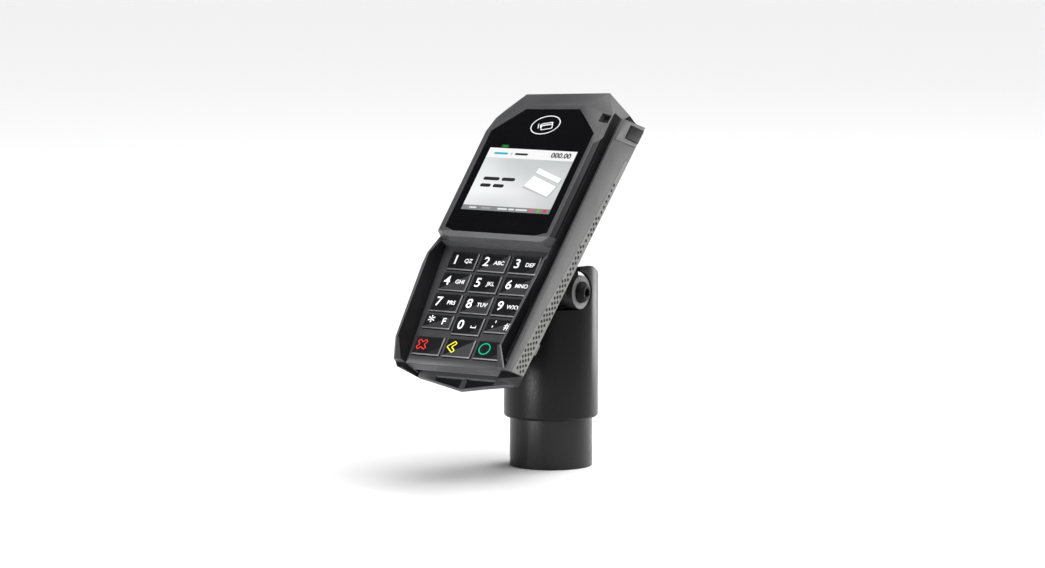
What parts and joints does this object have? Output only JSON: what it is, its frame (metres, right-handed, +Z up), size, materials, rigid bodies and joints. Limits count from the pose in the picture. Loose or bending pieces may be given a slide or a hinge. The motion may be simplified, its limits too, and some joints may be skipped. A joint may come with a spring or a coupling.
{
  "type": "card payment terminal",
  "caption": "Countertop card payment terminal with keypad, colour display, chip slot and side swipe rail, on a swivelling, tilting pole head.",
  "frame": {"origin": "on the axis of the pole, at the lower end of the pole tube", "axes": "+Z up along the pole, -Y toward the person paying, +X to the right of the terminal as they face it"},
  "size_m": [0.0797, 0.1314, 0.1808],
  "materials": {
    "charcoal_plastic": "fine-textured charcoal grey moulding",
    "black_plastic": "fine-textured black moulding",
    "grey_plastic": "fine-textured mid-grey moulding",
    "grip_rubber": "matte light grey rubber",
    "window_plastic": "polished black window",
    "display_panel": "backlit display panel",
    "bright_steel": "plain stamped steel",
    "light_guide": "green light guide",
    "board_green": "solder-masked circuit board",
    "membrane_rubber": "moulded silicone",
    "head_alloy": "lapped metal shell",
    "contact_gold": "gold-plated contacts",
    "screw_steel": "zinc-plated steel",
    "foot_rubber": "matte black rubber",
    "bracket_paint": "satin black coated steel",
    "bearing_plastic": "low-friction plastic",
    "head_paint": "satin black powder coat",
    "pole_paint": "satin black powder coat",
    "insert_aluminium": "turned aluminium",
    "key_plastic": "glossy black key with a printed legend"
  },
  "bodies": {
    "pole": {"pole_tube": "pole_paint", "swivel_bush": "bearing_plastic", "top_insert": "insert_aluminium", "base_insert": "insert_aluminium", "thrust_washer": "bearing_plastic", "pivot_bolt": "screw_steel"},
    "head": {"head_sleeve": "head_paint", "tilt_knuckle": "bracket_paint", "knuckle_screws": "bracket_paint"},
    "terminal": {"front_casing": "charcoal_plastic", "keypad_plate": "charcoal_plastic", "card_lip": "charcoal_plastic", "rear_casing": "black_plastic", "slot_liner": "black_plastic", "chip_reader": "black_plastic", "service_cover": "black_plastic", "rear_connector": "black_plastic", "buzzer": "black_plastic", "corner_plug": "black_plastic", "swipe_rail": "grey_plastic", "rail_end_cap": "grey_plastic", "grip_strip": "grip_rubber", "display_window": "window_plastic", "lcd_panel": "display_panel", "lcd_frame": "bright_steel", "security_shield": "bright_steel", "head_spring": "bright_steel", "backup_cell": "bright_steel", "status_light_guide": "light_guide", "antenna_board": "board_green", "main_board": "board_green", "keypad_board": "board_green", "keypad_membrane": "membrane_rubber", "chip_contacts": "contact_gold", "casing_screws": "screw_steel", "adapter_screws": "screw_steel", "bracket_screws": "screw_steel", "tilt_nut": "screw_steel", "rubber_feet": "foot_rubber", "adapter_plate": "bracket_paint", "tilt_bracket": "bracket_paint", "tilt_bolt": "bracket_paint", "friction_washers": "bearing_plastic"},
    "read_head": {"magnetic_head": "head_alloy"},
    "button_1": {"key_1": "key_plastic"},
    "button_2": {"key_2": "key_plastic"},
    "button_3": {"key_3": "key_plastic"},
    "button_4": {"key_4": "key_plastic"},
    "button_5": {"key_5": "key_plastic"},
    "button_6": {"key_6": "key_plastic"},
    "button_7": {"key_7": "key_plastic"},
    "button_8": {"key_8": "key_plastic"},
    "button_9": {"key_9": "key_plastic"},
    "button_star": {"key_star": "key_plastic"},
    "button_0": {"key_0": "key_plastic"},
    "button_hash": {"key_hash": "key_plastic"},
    "button_cancel": {"key_cancel": "key_plastic"},
    "button_clear": {"key_clear": "key_plastic"},
    "button_enter": {"key_enter": "key_plastic"}
  },
  "joints": [
    {"name": "head_swivel", "type": "hinge", "parent": "pole", "child": "head", "pos_m": [0, 0, 0.05], "axis": [0, 0, 1], "range_deg": [-165, 165]},
    {"name": "terminal_tilt", "type": "hinge", "parent": "head", "child": "terminal", "pos_m": [0, -0.0075, 0.0863], "axis": [1, 0, 0], "range_deg": [-38, 34]},
    {"name": "read_head_float", "type": "slide", "parent": "terminal", "child": "read_head", "axis": [-1, 0, 0], "range_m": [0, 0.0005], "stiffness_N_per_m": 2000},
    {"name": "press_1", "type": "slide", "parent": "terminal", "child": "button_1", "axis": [0, 0.7878, -0.6159], "range_m": [0, 0.0012], "stiffness_N_per_m": 1250},
    {"name": "press_2", "type": "slide", "parent": "terminal", "child": "button_2", "axis": [0, 0.7878, -0.6159], "range_m": [0, 0.0012], "stiffness_N_per_m": 1250},
    {"name": "press_3", "type": "slide", "parent": "terminal", "child": "button_3", "axis": [0, 0.7878, -0.6159], "range_m": [0, 0.0012], "stiffness_N_per_m": 1250},
    {"name": "press_4", "type": "slide", "parent": "terminal", "child": "button_4", "axis": [0, 0.7878, -0.6159], "range_m": [0, 0.0012], "stiffness_N_per_m": 1250},
    {"name": "press_5", "type": "slide", "parent": "terminal", "child": "button_5", "axis": [0, 0.7878, -0.6159], "range_m": [0, 0.0012], "stiffness_N_per_m": 1250},
    {"name": "press_6", "type": "slide", "parent": "terminal", "child": "button_6", "axis": [0, 0.7878, -0.6159], "range_m": [0, 0.0012], "stiffness_N_per_m": 1250},
    {"name": "press_7", "type": "slide", "parent": "terminal", "child": "button_7", "axis": [0, 0.7878, -0.6159], "range_m": [0, 0.0012], "stiffness_N_per_m": 1250},
    {"name": "press_8", "type": "slide", "parent": "terminal", "child": "button_8", "axis": [0, 0.7878, -0.6159], "range_m": [0, 0.0012], "stiffness_N_per_m": 1250},
    {"name": "press_9", "type": "slide", "parent": "terminal", "child": "button_9", "axis": [0, 0.7878, -0.6159], "range_m": [0, 0.0012], "stiffness_N_per_m": 1250},
    {"name": "press_star", "type": "slide", "parent": "terminal", "child": "button_star", "axis": [0, 0.7878, -0.6159], "range_m": [0, 0.0012], "stiffness_N_per_m": 1250},
    {"name": "press_0", "type": "slide", "parent": "terminal", "child": "button_0", "axis": [0, 0.7878, -0.6159], "range_m": [0, 0.0012], "stiffness_N_per_m": 1250},
    {"name": "press_hash", "type": "slide", "parent": "terminal", "child": "button_hash", "axis": [0, 0.7878, -0.6159], "range_m": [0, 0.0012], "stiffness_N_per_m": 1250},
    {"name": "press_cancel", "type": "slide", "parent": "terminal", "child": "button_cancel", "axis": [0, 0.7878, -0.6159], "range_m": [0, 0.0012], "stiffness_N_per_m": 1250},
    {"name": "press_clear", "type": "slide", "parent": "terminal", "child": "button_clear", "axis": [0, 0.7878, -0.6159], "range_m": [0, 0.0012], "stiffness_N_per_m": 1250},
    {"name": "press_enter", "type": "slide", "parent": "terminal", "child": "button_enter", "axis": [0, 0.7878, -0.6159], "range_m": [0, 0.0012], "stiffness_N_per_m": 1250}
  ]
}
